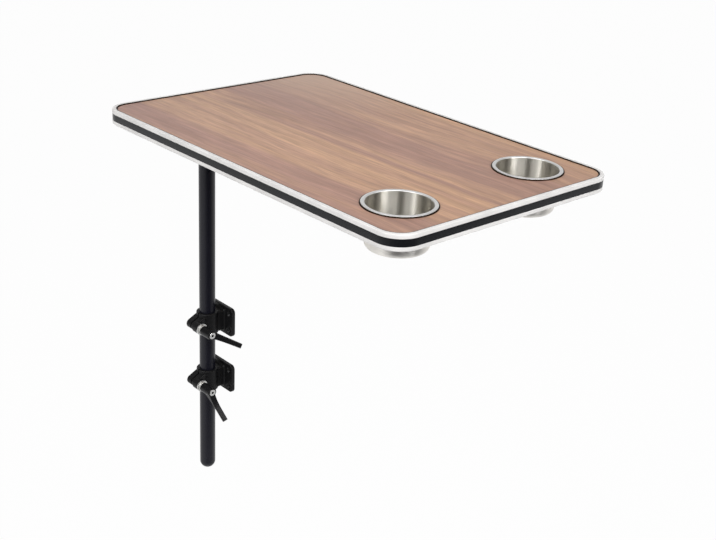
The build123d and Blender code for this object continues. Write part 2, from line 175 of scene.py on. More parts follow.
# Soft lamps: name, heading from the table, distance, height over the tabletop, width, length and power
STUDIO_LAMPS = (
    ("left_strip", radians(-92.5), 2.3, 1.6, 0.36, 2.0, 35.0),
    ("left_softbox", radians(-72), 2.3, 1.6, 1.2, 2.0, 26.0),
    ("right_strip", radians(5), 2.3, 1.2, 0.9, 2.0, 38.0),
    ("right_softbox", radians(-22), 2.3, 1.5, 1.3, 2.0, 27.0),
)


class CamperTableSizes(PropertyGroup):
    """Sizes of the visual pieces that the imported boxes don't give."""

    board_corner: FloatProperty(
        name="Board corner", description="Radius of the board's corners", default=0.0315, unit="LENGTH")
    lip_reach: FloatProperty(
        name="Lip reach", description="How far the trim's lips reach over the board", default=0.0032,
        unit="LENGTH")
    lip_edge: FloatProperty(
        name="Lip edge", description="Rounding of the lips' inner edges", default=0.0005, unit="LENGTH")
    trim_edge: FloatProperty(
        name="Trim edge", description="Rounding of the trim's outer edges", default=0.0016, unit="LENGTH")
    stripe_groove: FloatProperty(
        name="Stripe groove", description="Depth of the groove that holds the stripe", default=0.0012,
        unit="LENGTH")
    groove_edge: FloatProperty(
        name="Groove edge", description="Rounding of the groove's outer edges", default=0.0002, unit="LENGTH")
    stripe_spread: FloatProperty(
        name="Stripe spread", description="How far the pressed in stripe spreads at its upper and lower edge",
        default=0.00025, unit="LENGTH")
    stripe_crown: FloatProperty(
        name="Stripe crown", description="How far the stripe's middle stands out from its edges",
        default=0.0004, unit="LENGTH")
    # Painted shade: a dark bead inside the trim's lip stands in for the shadow in the gap between lip and
    # board
    lip_shade_width: FloatProperty(
        name="Joint width", description="Width of the dark joint between lip and board", default=0.0023,
        unit="LENGTH")
    lip_shade_height: FloatProperty(
        name="Joint height", description="Height of the joint up the lip's inner edge", default=0.0012,
        unit="LENGTH")
    cup_mouth: FloatProperty(
        name="Cup mouth", description="Inner radius of a cup at the board's top", default=0.0420,
        unit="LENGTH")
    cup_base: FloatProperty(
        name="Cup base", description="Inner radius of a cup at its floor", default=0.0394, unit="LENGTH")
    cup_wall: FloatProperty(
        name="Cup wall", description="Thickness of the pressed steel", default=0.0008, unit="LENGTH")
    cup_corner: FloatProperty(
        name="Cup corner", description="Radius between a cup's wall and floor", default=0.0070, unit="LENGTH")
    rim_roll: FloatProperty(
        name="Rim roll", description="Rounding of the rim into the cup", default=0.0011, unit="LENGTH")
    rim_edge: FloatProperty(
        name="Rim edge", description="Rounding of the rim's outer shoulder", default=0.0009, unit="LENGTH")
    # Painted shade: a dark ring under each cup's rim stands in for the shadow where the rim meets the board
    seal_height: FloatProperty(
        name="Seal height", description="Height of the dark seal under a rim", default=0.0016, unit="LENGTH")
    seal_reach: FloatProperty(
        name="Seal reach", description="How far the seal stands out from under a rim", default=0.0013,
        unit="LENGTH")
    rim_lean: FloatProperty(
        name="Rim lean", description="How far the rim's sides lean in", default=0.0004, unit="LENGTH")
    pole_wall: FloatProperty(
        name="Pole wall", description="Thickness of the pole's tube", default=0.0020, unit="LENGTH")
    spring_wire: FloatProperty(
        name="Spring wire", description="Radius of a lever spring's wire", default=0.0005, unit="LENGTH")
    spring_turns: IntProperty(name="Spring turns", description="Turns of a lever spring", default=4, min=1)
    # The screw's socket is darkened inside this radius, below its lip, as painted shade
    socket_radius: FloatProperty(
        name="Socket radius", description="Radius that holds a lever screw's socket", default=0.0024,
        unit="LENGTH")
    socket_lip: FloatProperty(
        name="Socket lip", description="Bright lip at the mouth of a lever screw's socket", default=0.0002,
        unit="LENGTH")


class CamperTableColours(PropertyGroup):
    """Colours of the finishes, as linear values."""

    wood_tan: FloatVectorProperty(
        name="Wood tan", description="Lighter bands of the wood grain", default=(0.540, 0.337, 0.229),
        subtype="COLOR", min=0, max=1)
    wood_mauve: FloatVectorProperty(
        name="Wood mauve", description="Darker bands of the wood grain", default=(0.391, 0.237, 0.196),
        subtype="COLOR", min=0, max=1)
    # Tints along the board: partly the grain's own change of colour, partly painted shade that darkens the
    # cups' end
    wood_pole_end: FloatVectorProperty(
        name="Wood pole end", description="Tint of the grain at the pole's end",
        default=(0.965, 0.985, 0.995), subtype="COLOR", min=0, max=1)
    wood_halfway: FloatVectorProperty(
        name="Wood halfway", description="Tint of the grain halfway along the board",
        default=(1.00, 0.985, 0.945), subtype="COLOR", min=0, max=1)
    wood_cup_end: FloatVectorProperty(
        name="Wood cup end", description="Tint of the grain at the cups' end", default=(0.87, 0.84, 0.78),
        subtype="COLOR", min=0, max=1)
    # Painted sheen: this lighter tone, mixed in at the far corner by the pole, stands in for a reflection of
    # the backdrop
    wood_sheen: FloatVectorProperty(
        name="Wood faded", description="Tone that the grain fades to at the far corner by the pole",
        default=(0.59, 0.445, 0.37), subtype="COLOR", min=0, max=1)
    trim_silver: FloatVectorProperty(
        name="Trim silver", description="Edge trim", default=(0.660, 0.646, 0.636),
        subtype="COLOR", min=0, max=1)
    stripe_black: FloatVectorProperty(
        name="Stripe black", description="Stripe in the trim", default=(0.006, 0.0065, 0.008),
        subtype="COLOR", min=0, max=1)
    # Painted shade: colour of the dark beads that stand in for shadow inside the trim's lip and under the
    # cups' rims
    shade_brown: FloatVectorProperty(
        name="Joint brown", description="Joint inside the trim and seals of the cups",
        default=(0.016, 0.0075, 0.0035), subtype="COLOR", min=0, max=1)
    # The cups' steel in three copies: the rim a lighter one as painted reflection, the bowl a darker one as
    # painted shade inside the cup, the shell the steel's own colour
    rim_steel: FloatVectorProperty(
        name="Rim steel", description="Satin rims of the cups", default=(0.93, 0.92, 0.90),
        subtype="COLOR", min=0, max=1)
    bowl_steel: FloatVectorProperty(
        name="Bowl steel", description="Brushed inside of the cups", default=(0.58, 0.555, 0.50),
        subtype="COLOR", min=0, max=1)
    shell_steel: FloatVectorProperty(
        name="Shell steel", description="Outside of the cups", default=(0.84, 0.815, 0.77),
        subtype="COLOR", min=0, max=1)
    pole_paint: FloatVectorProperty(
        name="Pole paint", description="Powder coat of the pole", default=(0.006, 0.006, 0.011),
        subtype="COLOR", min=0, max=1)
    clamp_paint: FloatVectorProperty(
        name="Clamp paint", description="Powder coat of the clamps", default=(0.006, 0.006, 0.0065),
        subtype="COLOR", min=0, max=1)
    handle_paint: FloatVectorProperty(
        name="Handle paint", description="Coat of the lever handles", default=(0.006, 0.006, 0.0065),
        subtype="COLOR", min=0, max=1)
    liner_plastic: FloatVectorProperty(
        name="Liner plastic", description="Sleeves round the pole", default=(0.005, 0.005, 0.0055),
        subtype="COLOR", min=0, max=1)
    bright_steel: FloatVectorProperty(
        name="Bright steel", description="Washers, studs and lever screws", default=(0.84, 0.84, 0.82),
        subtype="COLOR", min=0, max=1)
    zinc_steel: FloatVectorProperty(
        name="Zinc steel", description="Nuts and wood screws", default=(0.52, 0.53, 0.54),
        subtype="COLOR", min=0, max=1)
    spring_steel: FloatVectorProperty(
        name="Spring steel", description="Lever springs", default=(0.32, 0.32, 0.33),
        subtype="COLOR", min=0, max=1)
    floor_white: FloatVectorProperty(
        name="Floor white", description="Studio floor", default=(0.92, 0.92, 0.92),
        subtype="COLOR", min=0, max=1)
    flag_cloth: FloatVectorProperty(
        name="Flag cloth", description="Black flag in front of the table", default=(0.05, 0.055, 0.07),
        subtype="COLOR", min=0, max=1)


class CamperTableStage(PropertyGroup):
    """Camera and light of the studio."""

    camera_place: FloatVectorProperty(
        name="Camera place", description="Where the camera stands", default=(1.42082, -1.03217, 0.85499),
        subtype="TRANSLATION", unit="LENGTH")
    camera_azimuth: FloatProperty(
        name="Camera azimuth", description="Turn of the view from +Y towards -X", default=radians(44.59474),
        subtype="ANGLE")
    camera_elevation: FloatProperty(
        name="Camera elevation", description="How far the camera looks down", default=radians(23.48149),
        subtype="ANGLE")
    camera_roll: FloatProperty(
        name="Camera roll", description="Tilt about the line of sight", default=radians(3.93494),
        subtype="ANGLE")
    camera_lens: FloatProperty(name="Lens", description="Focal length in millimetres", default=60.326)
    camera_shift: FloatProperty(name="Shift", description="Sideways shift of the frame", default=-0.06543)
    floor_drop: FloatProperty(
        name="Floor drop", description="Room between the pole's end and the floor", default=0.75,
        unit="LENGTH")
    floor_size: FloatProperty(name="Floor size", description="Side of the floor", default=60.0, unit="LENGTH")
    floor_glow: FloatProperty(
        name="Floor glow", description="Share of plain white in the floor as it is seen", default=0.975,
        subtype="FACTOR", min=0, max=1)
    flag_distance: FloatProperty(
        name="Flag distance", description="From the table's middle to the black flag", default=1.05,
        unit="LENGTH")
    flag_height: FloatProperty(
        name="Flag height", description="Height of the black flag", default=1.50, unit="LENGTH")
    flag_heading: FloatProperty(
        name="Flag heading", description="Heading of the flag's middle from the table", default=radians(-17),
        subtype="ANGLE")
    flag_core: FloatProperty(
        name="Flag core", description="How far the full black reaches to either side", default=radians(15),
        subtype="ANGLE")
    flag_reach: FloatProperty(
        name="Flag reach", description="How far the fading black reaches to either side", default=radians(90),
        subtype="ANGLE")
    backdrop_light: FloatProperty(
        name="Backdrop light", description="World brightness behind the table", default=0.95)
    backdrop_turn: FloatProperty(
        name="Backdrop turn", description="Turn of the backdrop's middle to the left of the line of sight",
        default=radians(6), subtype="ANGLE")
    room_light: FloatProperty(
        name="Room light", description="World brightness on the camera's side", default=0.20)
    ceiling_light: FloatProperty(name="Ceiling light", description="World brightness overhead", default=0.11)


def new_piece(name, bm, material, slot, body, *replaced):
    """Make an object of a finished bmesh that moves with a body and stands for CAD nodes."""
    mesh = bpy.data.meshes.new(name)
    bm.to_mesh(mesh)
    bm.free()
    mesh.shade_smooth()
    mesh.set_sharp_from_angle(angle=SHARP_ANGLE)
    mesh.materials.append(material)
    piece = bpy.data.objects.new(name, mesh)
    bpy.context.scene.collection.objects.link(piece)
    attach(piece, body)
    if replaced:
        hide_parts(*replaced)
    return piece


def dress(material, *nodes):
    """Give CAD nodes their finish."""
    for node in nodes:
        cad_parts[node].material_slots[0].material = material


def draw_outline(bm, corners, closed):
    """Draw a wire of (across, up, rounding) corners in the XZ plane and round them."""
    verts = [bm.verts.new((across, 0, up)) for across, up, rounding in corners]
    pairs = list(zip(verts, verts[1:]))
    if closed:
        pairs.append((verts[-1], verts[0]))
    for pair in pairs:
        bm.edges.new(pair)
    for vert, corner in zip(verts, corners):
        if corner[2]:
            bmesh.ops.bevel(
                bm, geom=[vert], offset=corner[2], offset_type="OFFSET", segments=ROUND_STEPS, profile=0.5,
                affect="VERTICES", material=-1)


def close_surface(bm):
    """Merge the doubles of a swept surface and point its faces outwards."""
    bmesh.ops.remove_doubles(bm, verts=bm.verts, dist=MERGE_DISTANCE)
    bmesh.ops.recalc_face_normals(bm, faces=bm.faces)


def lathe(bm, place):
    """Turn the wire in the XZ plane once round the upright axis at a place."""
    bmesh.ops.spin(
        bm, geom=bm.verts[:] + bm.edges[:], cent=(0, 0, 0), axis=(0, 0, 1), angle=tau, steps=LATHE_STEPS,
        use_merge=True)
    close_surface(bm)
    bmesh.ops.translate(bm, verts=bm.verts, vec=place)


def sweep_round_board(bm, corner_radius):
    """Carry the wire, drawn outwards from the board's edge, once round the board's rounded outline."""
    half = (BOARD_HIGH - BOARD_LOW) / 2
    reach = Vector((half.x - corner_radius, half.y - corner_radius))
    straights = (2 * reach.y, 2 * reach.x)
    corner_places = [
        Vector((BOARD_MIDDLE.x + x * reach.x, BOARD_MIDDLE.y + y * reach.y, 0))
        for x, y in ((1, 1), (-1, 1), (-1, -1), (1, -1))
    ]
    start = Vector((BOARD_HIGH.x, BOARD_LOW.y + corner_radius, 0))
    bmesh.ops.translate(bm, verts=bm.verts, vec=start)
    profile = bm.verts[:] + bm.edges[:]
    for quarter, corner in enumerate(corner_places):
        run = Matrix.Rotation(quarter * QUARTER_TURN, 3, "Z") @ Vector((0, straights[quarter % 2], 0))
        profile = bmesh.ops.spin(
            bm, geom=profile, cent=corner, axis=(0, 0, 1), dvec=run, angle=0, steps=1)["geom_last"]
        profile = bmesh.ops.spin(
            bm, geom=profile, cent=corner, axis=(0, 0, 1), angle=QUARTER_TURN,
            steps=CORNER_STEPS)["geom_last"]
    close_surface(bm)


def add_node(tree, kind, settings=None, inputs=None):
    """Add a shader node with its settings; an input takes a value or another node's output."""
    made = tree.nodes.new("ShaderNode" + kind)
    for name, value in (settings or {}).items():
        setattr(made, name, value)
    for name, value in (inputs or {}).items():
        if isinstance(value, NodeSocket):
            tree.links.new(value, made.inputs[name])
        else:
            made.inputs[name].default_value = value
    return made


def calculate(tree, operation, *values):
    """Add a math node and give its output."""
    return add_node(tree, "Math", {"operation": operation}, dict(enumerate(values))).outputs[0]


def mix_colours(tree, factor, first, second, blend="MIX"):
    """Mix two colours and give the result."""
    mix = add_node(tree, "Mix", {"data_type": "RGBA", "blend_type": blend}, {0: factor, 6: first, 7: second})
    return mix.outputs[2]


def remap(tree, value, low, high, to_low, to_high):
    """Map a value from one range to another and give the result."""
    inputs = {"Value": value, "From Min": low, "From Max": high, "To Min": to_low, "To Max": to_high}
    return add_node(tree, "MapRange", None, inputs).outputs[0]


def rgba(colour):
    """A colour with full alpha."""
    return (*colour, 1.0)


def shade(colour, factor):
    """A darker or lighter tone of a colour, with full alpha."""
    return (*(min(1.0, channel * factor) for channel in colour), 1.0)


def new_material(name, **values):
    """Start a material of one Principled shader, with its constant values set on the shader."""
    material = bpy.data.materials.new(name)
    material.use_nodes = True
    tree = material.node_tree
    shader = tree.nodes["Principled BSDF"]
    for socket, value in values.items():
        shader.inputs[socket.replace("_", " ").title().replace("Ior", "IOR")].default_value = value
    return material, tree, shader


def new_group(name, inputs, outputs):
    """Start a shader node group with named inputs and outputs; give its tree and its two ends."""
    tree = bpy.data.node_groups.new(name, "ShaderNodeTree")
    for socket, kind, value in inputs:
        made = tree.interface.new_socket(name=socket, in_out="INPUT", socket_type="NodeSocket" + kind)
        made.default_value = value
    for socket, kind in outputs:
        tree.interface.new_socket(name=socket, in_out="OUTPUT", socket_type="NodeSocket" + kind)
    return tree, tree.nodes.new("NodeGroupInput"), tree.nodes.new("NodeGroupOutput")


def place_group(tree, name, **inputs):
    """Place a shared node group in a material with its own values."""
    made = tree.nodes.new("ShaderNodeGroup")
    made.node_tree = shared_group(name)
    for socket, value in inputs.items():
        if isinstance(value, NodeSocket):
            tree.links.new(value, made.inputs[socket])
        else:
            made.inputs[socket].default_value = value
    return made


def build_coat_grain(name):
    """Fine orange peel of a sprayed coat, and the slow change of tone under it."""
    tree, entry, exit_ = new_group(name, (("Size", "Float", 0.001), ("Patch", "Float", 0.04)),
                                   (("Grain", "Float"), ("Tone", "Float")))
    place = add_node(tree, "TexCoord").outputs["Object"]
    fine = add_node(tree, "TexNoise", None, {
        "Vector": place, "Scale": calculate(tree, "DIVIDE", 1.0, entry.outputs["Size"]), "Detail": 2.0})
    slow = add_node(tree, "TexNoise", None, {
        "Vector": place, "Scale": calculate(tree, "DIVIDE", 1.0, entry.outputs["Patch"]), "Detail": 3.0})
    tree.links.new(fine.outputs["Fac"], exit_.inputs["Grain"])
    tree.links.new(slow.outputs["Fac"], exit_.inputs["Tone"])
    return tree


def build_turned_marks(name):
    """Tool marks of a piece whose axis is the vector's Z: rings round it and rays along it."""
    tree, entry, exit_ = new_group(
        name, (("Vector", "Vector", (0, 0, 0)), ("Ring Size", "Float", 0.0004), ("Ray Count", "Float", 60.0)),
        (("Rings", "Float"), ("Rays", "Float"), ("Radius", "Float")))
    parts = add_node(tree, "SeparateXYZ", None, {0: entry.outputs["Vector"]})
    flat = add_node(tree, "CombineXYZ", None, {0: parts.outputs[0], 1: parts.outputs[1]}).outputs[0]
    radius = add_node(tree, "VectorMath", {"operation": "LENGTH"}, {0: flat}).outputs["Value"]
    along = calculate(tree, "ADD", radius, parts.outputs[2])
    rings = add_node(tree, "TexNoise", {"noise_dimensions": "1D"}, {
        "W": calculate(tree, "DIVIDE", along, entry.outputs["Ring Size"]), "Detail": 3.0})
    heading = add_node(tree, "VectorMath", {"operation": "NORMALIZE"}, {0: flat}).outputs[0]
    spread = add_node(tree, "VectorMath", {"operation": "SCALE"}, {
        0: heading, "Scale": calculate(tree, "DIVIDE", entry.outputs["Ray Count"], tau)}).outputs[0]
    rays = add_node(tree, "TexNoise", None, {"Vector": spread, "Scale": 1.0, "Detail": 5.0, "Roughness": 0.6})
    tree.links.new(rings.outputs["Fac"], exit_.inputs["Rings"])
    tree.links.new(rays.outputs["Fac"], exit_.inputs["Rays"])
    tree.links.new(radius, exit_.inputs["Radius"])
    return tree


GROUP_BUILDERS = {"Coat Grain": build_coat_grain, "Turned Marks": build_turned_marks}


def shared_group(name):
    """Give a shared node group, built the first time that it is asked for."""
    return bpy.data.node_groups.get(name) or GROUP_BUILDERS[name](name)


def bump(tree, shader, height, distance, strength=1.0):
    """Let a height change the shader's normal."""
    made = add_node(tree, "Bump", None, {"Height": height, "Distance": distance, "Strength": strength})
    tree.links.new(made.outputs["Normal"], shader.inputs["Normal"])


def tones(tree, factor, colour, span):
    """Mix between a darker and a lighter tone of a colour."""
    return mix_colours(tree, factor, shade(colour, span[0]), shade(colour, span[1]))


def coated(name, colour):
    """A sprayed coat on metal, or moulded plastic: fine grain, and tone and gloss that change a little."""
    roughness, grain_size, grain_depth, specular = COATS[name]
    material, tree, shader = new_material(name, specular_ior_level=specular)
    coat = place_group(tree, "Coat Grain", Size=grain_size)
    tone = tones(tree, coat.outputs["Tone"], colour, COAT_TONES)
    tree.links.new(tone, shader.inputs["Base Color"])
    gloss = remap(
        tree, coat.outputs["Grain"], *NOISE_SPAN,
        roughness - COAT_GLOSS_CHANGE, roughness + COAT_GLOSS_CHANGE)
    tree.links.new(gloss, shader.inputs["Roughness"])
    bump(tree, shader, coat.outputs["Grain"], grain_depth)
    return material


def turned(name, metal, colour, middle, turn, socket=None):
    """Turned metal: rings round the piece's axis, which a mapping lays along Z.

    A socket, given as its radius and the height of its mouth, is darkened inside as painted shade.
    """
    roughness, ring_size = TURNED_METALS[metal]
    material, tree, shader = new_material(name, metallic=1.0)
    place = add_node(tree, "TexCoord").outputs["Object"]
    local = add_node(tree, "Mapping", {"vector_type": "TEXTURE"}, {
        "Vector": place, "Location": middle, "Rotation": turn}).outputs[0]
    marks = place_group(tree, "Turned Marks", Vector=local, **{"Ring Size": ring_size})
    tone = tones(tree, marks.outputs["Rings"], colour, TURNED_TONES)
    # Painted shade: the socket recess under its mouth is darkened
    if socket:
        radius, mouth = socket
        height = add_node(tree, "SeparateXYZ", None, {0: local}).outputs[2]
        inside = calculate(tree, "LESS_THAN", marks.outputs["Radius"], radius)
        below = calculate(tree, "LESS_THAN", height, mouth)
        tone = mix_colours(tree, calculate(tree, "MULTIPLY", inside, below), tone, shade(colour, SOCKET_SHADE))
    tree.links.new(tone, shader.inputs["Base Color"])
    gloss = remap(
        tree, marks.outputs["Rings"], *NOISE_SPAN,
        roughness - TURNED_GLOSS_CHANGE, roughness + TURNED_GLOSS_CHANGE)
    tree.links.new(gloss, shader.inputs["Roughness"])
    bump(tree, shader, marks.outputs["Rings"], TURNED_DEPTH)
    return material


def wood_material(colours):
    """Printed wood grain laminate: broad bands, streaks along the board and short dark pores. A tint along
    the board is partly the grain's own colour and partly painted shade at the cups' end; a lighter tone at
    the far corner by the pole is a painted sheen.
    """
    material, tree, shader = new_material("wood_laminate", specular_ior_level=WOOD_SPECULAR)
    place = add_node(tree, "SeparateXYZ", None, {0: add_node(tree, "TexCoord").outputs["Object"]})
    along, across = place.outputs[0], place.outputs[1]

    def streaks(kind, height):
        """Noise drawn out along the board, at a height across it."""
        run, pitch, detail = WOOD_STREAKS[kind]
        vector = add_node(tree, "CombineXYZ", None, {
            0: calculate(tree, "DIVIDE", along, run), 1: calculate(tree, "DIVIDE", height, pitch)}).outputs[0]
        return add_node(tree, "TexNoise", {"noise_dimensions": "2D"}, {
            "Vector": vector, "Scale": 1.0, "Detail": detail, "Roughness": STREAK_ROUGHNESS}).outputs["Fac"]

    from_middle = calculate(tree, "SUBTRACT", along, BOARD_MIDDLE.x)
    level = calculate(tree, "MULTIPLY_ADD", from_middle, -WOOD_SLOPE, across)
    sway = calculate(tree, "SUBTRACT", streaks("sway", level), NOISE_MIDDLE)
    bent = calculate(tree, "MULTIPLY_ADD", sway, WOOD_SWAY, level)
    ramp = add_node(tree, "ValToRGB", None, {"Fac": remap(tree, bent, BOARD_LOW.y, BOARD_HIGH.y, 0.0, 1.0)})
    ramp.color_ramp.interpolation = "EASE"
    stops = ramp.color_ramp.elements
    for index, (position, tan) in enumerate(WOOD_BANDS):
        stop = stops[index] if index < 1 else stops.new(position)
        stop.position = position
        stop.color = (tan, tan, tan, 1.0)
    stops.remove(stops[len(stops) - 1])

    wide = streaks("wide", bent)
    middle = streaks("middle", bent)
    fine = streaks("fine", bent)
    pores = remap(tree, streaks("pores", bent), *PORE_SPAN, 0.0, 1.0)
    uneven = calculate(tree, "SUBTRACT", wide, NOISE_MIDDLE)
    tan_share = calculate(tree, "MULTIPLY_ADD", uneven, WIDE_STREAK_SHARE, ramp.outputs["Color"])
    base = mix_colours(tree, tan_share, rgba(colours.wood_mauve), rgba(colours.wood_tan))
    for noise, depth in ((middle, MIDDLE_STREAK_DEPTH), (fine, FINE_STREAK_DEPTH)):
        streak = remap(tree, noise, *NOISE_SPAN, 1.0 - depth / 2, 1.0 + depth / 2)
        base = add_node(tree, "VectorMath", {"operation": "SCALE"}, {0: base, "Scale": streak}).outputs[0]
    pore_share = calculate(tree, "MULTIPLY", pores, PORE_SHARE)
    base = mix_colours(tree, pore_share, base, shade(colours.wood_mauve, PORE_TONE))

    # Tint along the board: partly the grain's own colour, partly painted shade that darkens the cups' end to
    # even out the light
    to_middle = remap(tree, along, BOARD_LOW.x, BOARD_MIDDLE.x, 0.0, 1.0)
    to_cups = remap(tree, along, BOARD_MIDDLE.x, BOARD_HIGH.x, 0.0, 1.0)
    tint_and_shade = mix_colours(tree, to_middle, rgba(colours.wood_pole_end), rgba(colours.wood_halfway))
    tint_and_shade = mix_colours(tree, to_cups, tint_and_shade, rgba(colours.wood_cup_end))
    base = mix_colours(tree, 1.0, base, tint_and_shade, blend="MULTIPLY")
    # Painted sheen: towards the far corner by the pole the grain is mixed with a lighter, greyer tone that
    # stands in for a reflection
    by_pole = remap(tree, along, BOARD_MIDDLE.x - SHEEN_START, BOARD_LOW.x, 0.0, 1.0)
    by_wall = remap(tree, across, BOARD_MIDDLE.y, BOARD_HIGH.y, 0.0, 1.0)
    sheen = calculate(tree, "MULTIPLY", calculate(tree, "MULTIPLY", by_pole, by_wall), SHEEN_SHARE)
    base = mix_colours(tree, sheen, base, rgba(colours.wood_sheen))
    tree.links.new(base, shader.inputs["Base Color"])
    tree.links.new(remap(tree, fine, *NOISE_SPAN, *WOOD_GLOSS), shader.inputs["Roughness"])
    bump(tree, shader, calculate(tree, "SUBTRACT", fine, pores), WOOD_DEPTH)
    return material


def brushed_material(name, colour, middle, foot, painted_foot_shade):
    """Spun stainless steel: brushed round the axis, so that light is drawn out up and down the wall. Towards
    the foot the colour darkens to the given tone, as painted shade deep in the cup.
    """
    material, tree, shader = new_material(
        name, metallic=1.0, anisotropic=BRUSHED_STRETCH, anisotropic_rotation=BRUSHED_HEADING)
    place = add_node(tree, "TexCoord").outputs["Object"]
    local = add_node(tree, "Mapping", {"vector_type": "TEXTURE"}, {
        "Vector": place, "Location": middle}).outputs[0]
    marks = place_group(tree, "Turned Marks", Vector=local, **BRUSHED_MARKS)
    height = add_node(tree, "SeparateXYZ", None, {0: local}).outputs[2]
    # Painted shade: the colour darkens towards the foot
    tone = remap(tree, height, foot, foot + CUP_SHADE_RISE, painted_foot_shade, 1.0)
    brushed = tones(tree, marks.outputs["Rings"], colour, BRUSHED_TONES)
    brushed = add_node(tree, "VectorMath", {"operation": "SCALE"}, {0: brushed, "Scale": tone}).outputs[0]
    tree.links.new(brushed, shader.inputs["Base Color"])
    gloss = remap(tree, marks.outputs["Rays"], *NOISE_SPAN, *BRUSHED_GLOSS)
    tree.links.new(gloss, shader.inputs["Roughness"])
    bump(tree, shader, marks.outputs["Rings"], BRUSHED_DEPTH)
    return material


class DressBoard(Operator):
    """Give the tabletop board its wood grain laminate."""

    bl_idname = "camper_table.dress_board"
    bl_label = "Tabletop Board"

    def execute(self, context):
        dress(wood_material(context.scene.camper_colours), "tabletop_board")
        return {"FINISHED"}


class MakeEdgeTrim(Operator):
    """Sweep the silver trim, its black stripe and a dark bead of painted shade inside the lip round the
    board.
    """

    bl_idname = "camper_table.make_edge_trim"
    bl_label = "Edge Trim"

    def execute(self, context):
        sizes = context.scene.camper_sizes
        colours = context.scene.camper_colours
        wall = TRIM_HIGH.x - BOARD_HIGH.x
        groove = wall - sizes.stripe_groove
        middle = BOARD_MIDDLE.z
        stripe_half = (STRIPE_HIGH.z - STRIPE_LOW.z) / 2 + sizes.stripe_spread
        silver = coated("silver_trim", colours.trim_silver)
        black = coated("stripe_plastic", colours.stripe_black)
        brown = coated("joint_filler", colours.shade_brown)

        channel = bmesh.new()
        draw_outline(channel, (
            (-sizes.lip_reach, BOARD_HIGH.z, 0),
            (-sizes.lip_reach, TRIM_HIGH.z, sizes.lip_edge),
            (wall, TRIM_HIGH.z, sizes.trim_edge),
            (wall, middle + stripe_half, sizes.groove_edge),
            (groove, middle + stripe_half, 0),
            (groove, middle - stripe_half, 0),
            (wall, middle - stripe_half, sizes.groove_edge),
            (wall, TRIM_LOW.z, sizes.trim_edge),
            (-sizes.lip_reach, TRIM_LOW.z, sizes.lip_edge),
            (-sizes.lip_reach, BOARD_LOW.z, 0),
            (0, BOARD_LOW.z, 0),
            (0, BOARD_HIGH.z, 0),
        ), closed=True)
        sweep_round_board(channel, sizes.board_corner)
        new_piece("trim_channel", channel, silver, "trim_silver", BODY, "edge_trim")

        stripe = bmesh.new()
        draw_outline(stripe, (
            (groove, middle - stripe_half, 0),
            (wall - sizes.stripe_crown, middle - stripe_half, 0),
            (wall, middle, stripe_half * CROWN_SHARE),
            (wall - sizes.stripe_crown, middle + stripe_half, 0),
            (groove, middle + stripe_half, 0),
        ), closed=True)
        sweep_round_board(stripe, sizes.board_corner)
        new_piece("trim_stripe", stripe, black, "stripe_black", BODY, "trim_insert")

        # Painted shade: a dark bead along the lip's inner edge stands in for the shadow in the gap between
        # lip and board
        lip_shade = bmesh.new()
        lip = -sizes.lip_reach
        lip_shade_top = BOARD_HIGH.z + sizes.lip_shade_height
        draw_outline(lip_shade, (
            (lip - sizes.lip_shade_width, BOARD_HIGH.z, 0),
            (lip - sizes.lip_shade_width * CREST_SHARE, lip_shade_top, sizes.lip_shade_width * CREST_ROUNDING),
            (lip, lip_shade_top, 0),
            (lip, BOARD_HIGH.z, 0),
        ), closed=True)
        sweep_round_board(lip_shade, sizes.board_corner)
        new_piece("trim_joint", lip_shade, brown, "stripe_black", BODY)
        return {"FINISHED"}


